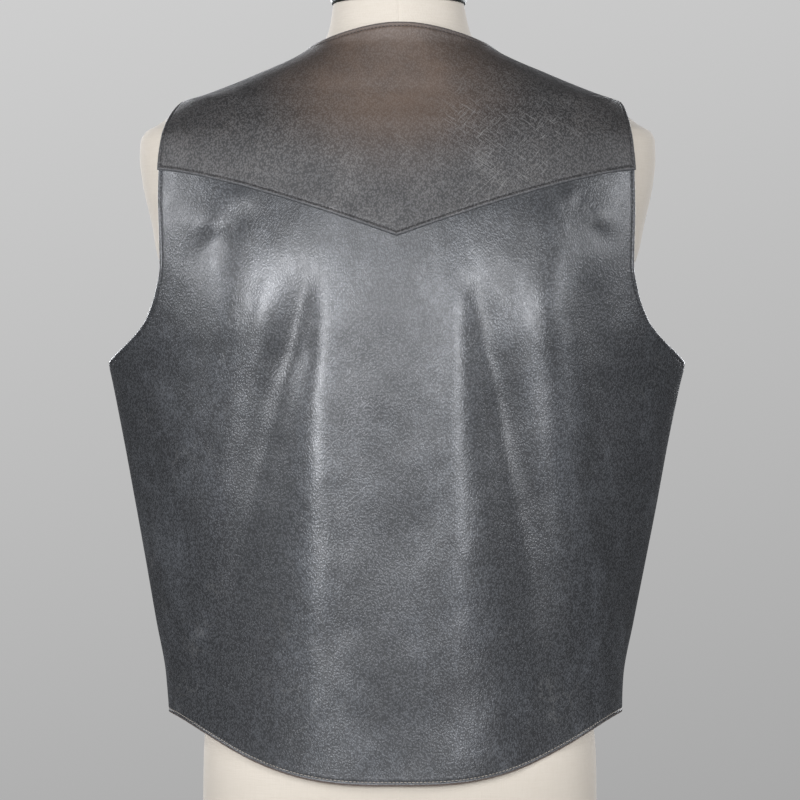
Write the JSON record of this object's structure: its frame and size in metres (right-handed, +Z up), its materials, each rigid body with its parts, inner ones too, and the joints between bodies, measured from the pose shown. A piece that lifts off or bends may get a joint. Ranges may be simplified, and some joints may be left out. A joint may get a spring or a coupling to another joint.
{
  "type": "leather vest on a dress form",
  "caption": "Plain leather vest with a pointed back yoke, V neck and curved hem, snapped shut on a limbless linen dress form.",
  "frame": {"origin": "middle of the form's flat underside, on the surface it stands on", "axes": "+Z up; the vest's fronts face -Y and its back faces +Y; the wearer's left is towards +X"},
  "size_m": [0.4904, 0.2729, 0.753],
  "materials": {
    "leather": "soft pebbled blue-grey leather, semi-matt, lightly scuffed",
    "linen": "cream linen cover, plain weave",
    "cap_metal": "dark bronzed cap",
    "snap_metal": "antiqued, satin"
  },
  "bodies": {
    "root": {"form_torso": "linen", "form_neck_cap": "cap_metal", "back_body": "leather", "back_yoke": "leather", "front_left": "leather", "front_right": "leather", "snap_1": "snap_metal", "snap_2": "snap_metal", "snap_3": "snap_metal", "snap_4": "snap_metal", "snap_5": "snap_metal"}
  },
  "joints": []
}
